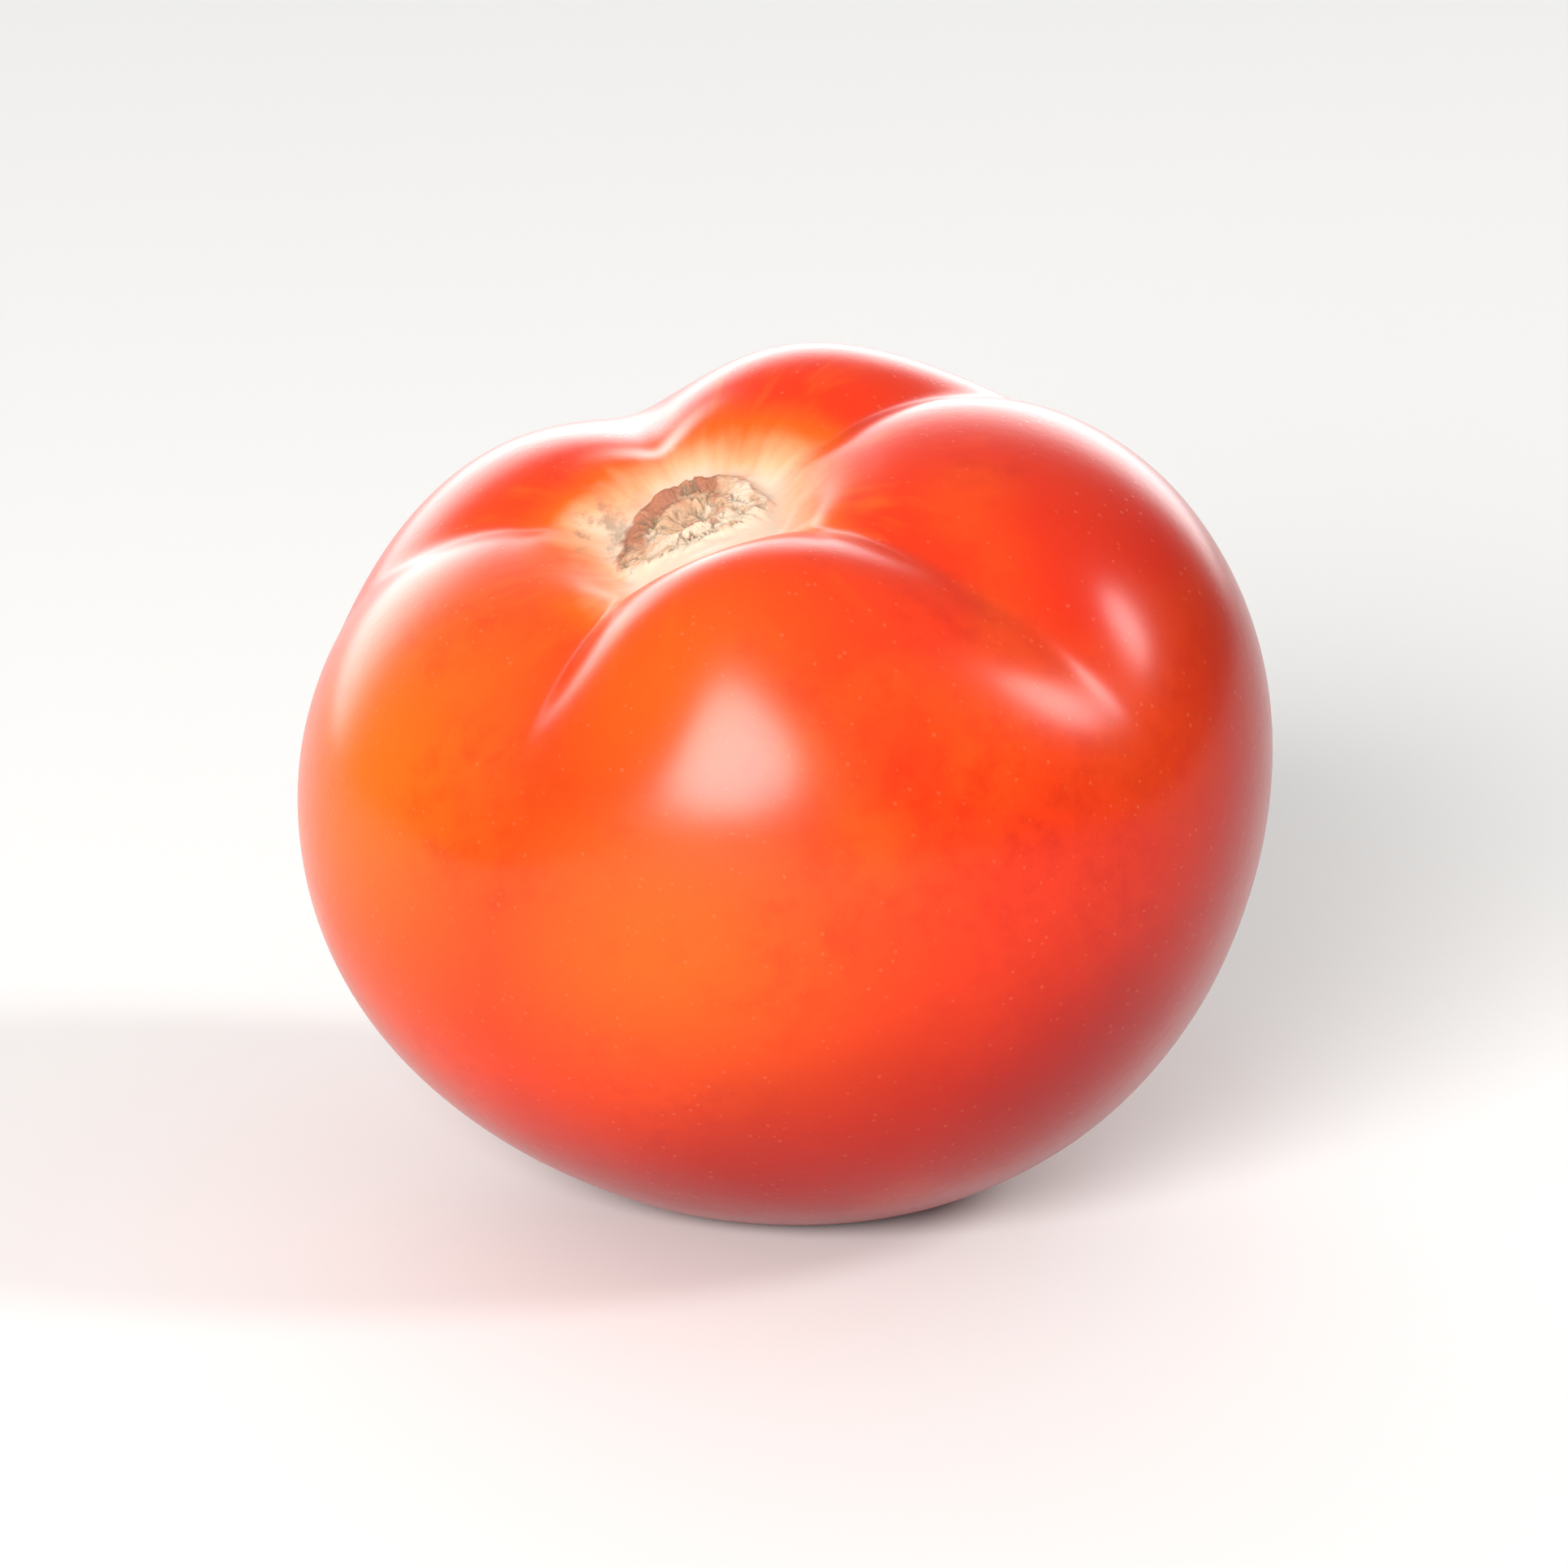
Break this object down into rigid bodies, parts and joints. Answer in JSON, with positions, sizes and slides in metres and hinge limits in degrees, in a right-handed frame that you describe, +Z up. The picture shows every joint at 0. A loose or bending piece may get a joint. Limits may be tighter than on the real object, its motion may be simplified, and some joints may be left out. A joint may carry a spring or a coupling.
{
  "type": "tomato",
  "caption": "Ripe round slicing tomato with rounded shoulders, furrows around a corky stem scar, leaning on a small flat spot.",
  "frame": {"origin": "on the resting surface, under the middle of the fruit's bounding box", "axes": "+Z up from the surface it rests on; the stem end leans 24 degrees from +Z towards -X and -Y; +X is the widest way across"},
  "size_m": [0.0802, 0.077, 0.0685],
  "materials": {
    "skin": "smooth waxy skin, softly glossy, red with orange patches, paler around a matt tan cork scar"
  },
  "bodies": {
    "root": {"tomato": "skin"}
  },
  "joints": []
}
